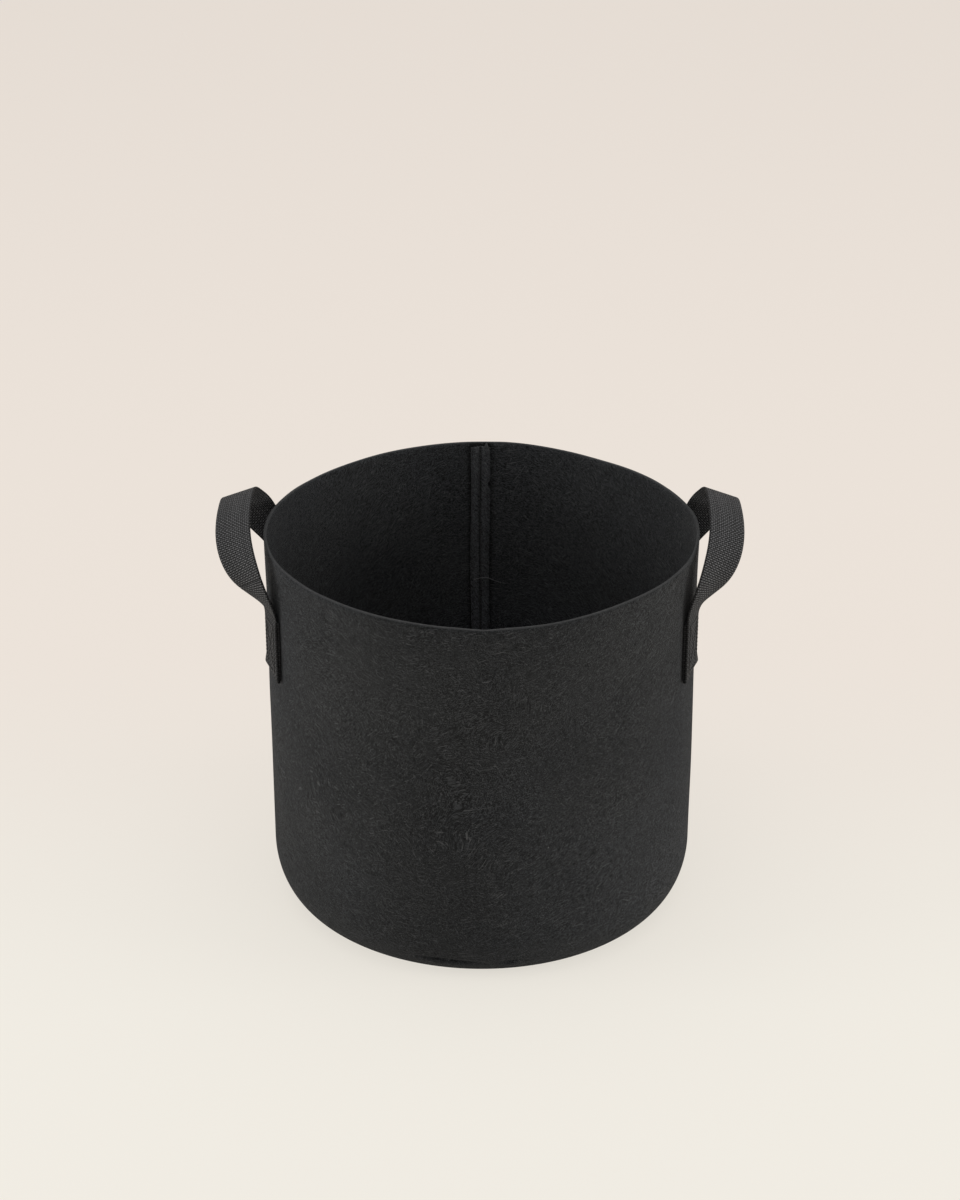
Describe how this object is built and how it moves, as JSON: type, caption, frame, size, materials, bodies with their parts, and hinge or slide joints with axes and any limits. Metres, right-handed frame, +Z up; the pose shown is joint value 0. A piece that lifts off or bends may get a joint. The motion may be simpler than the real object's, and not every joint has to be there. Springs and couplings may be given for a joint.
{
  "type": "fabric grow bag",
  "caption": "Round flat-bottomed planting bag of dark felt, open at the top, with webbing carrying handles sewn on opposite sides near the rim.",
  "frame": {"origin": "centre of the underside, on the plane the bag stands on", "axes": "+Z up through the open top; -Y is the front and +Y the side with the wall's seam; the handles are at -X and +X"},
  "size_m": [0.3556, 0.3158, 0.3031],
  "materials": {
    "felt": "charcoal needle-punched nonwoven felt, matt",
    "webbing": "charcoal woven polypropylene webbing, slight sheen",
    "thread": "black sewing thread"
  },
  "bodies": {
    "bag": {"wall_panel": "felt", "base_panel": "felt", "side_seam_stitching": "thread", "base_seam_stitching": "thread", "left_front_sewn_end": "webbing", "left_rear_sewn_end": "webbing", "right_front_sewn_end": "webbing", "right_rear_sewn_end": "webbing", "left_front_box_stitching": "thread", "left_rear_box_stitching": "thread", "right_front_box_stitching": "thread", "right_rear_box_stitching": "thread"},
    "left_loop": {"left_handle": "webbing"},
    "right_loop": {"right_handle": "webbing"}
  },
  "joints": [
    {"name": "left_handle_swing", "type": "hinge", "parent": "bag", "child": "left_loop", "pos_m": [-0.14796, 0, 0.2325], "axis": [0, -1, 0], "range_deg": [-10, 140]},
    {"name": "right_handle_swing", "type": "hinge", "parent": "bag", "child": "right_loop", "pos_m": [0.14796, 0, 0.2325], "axis": [0, 1, 0], "range_deg": [-10, 140]}
  ]
}
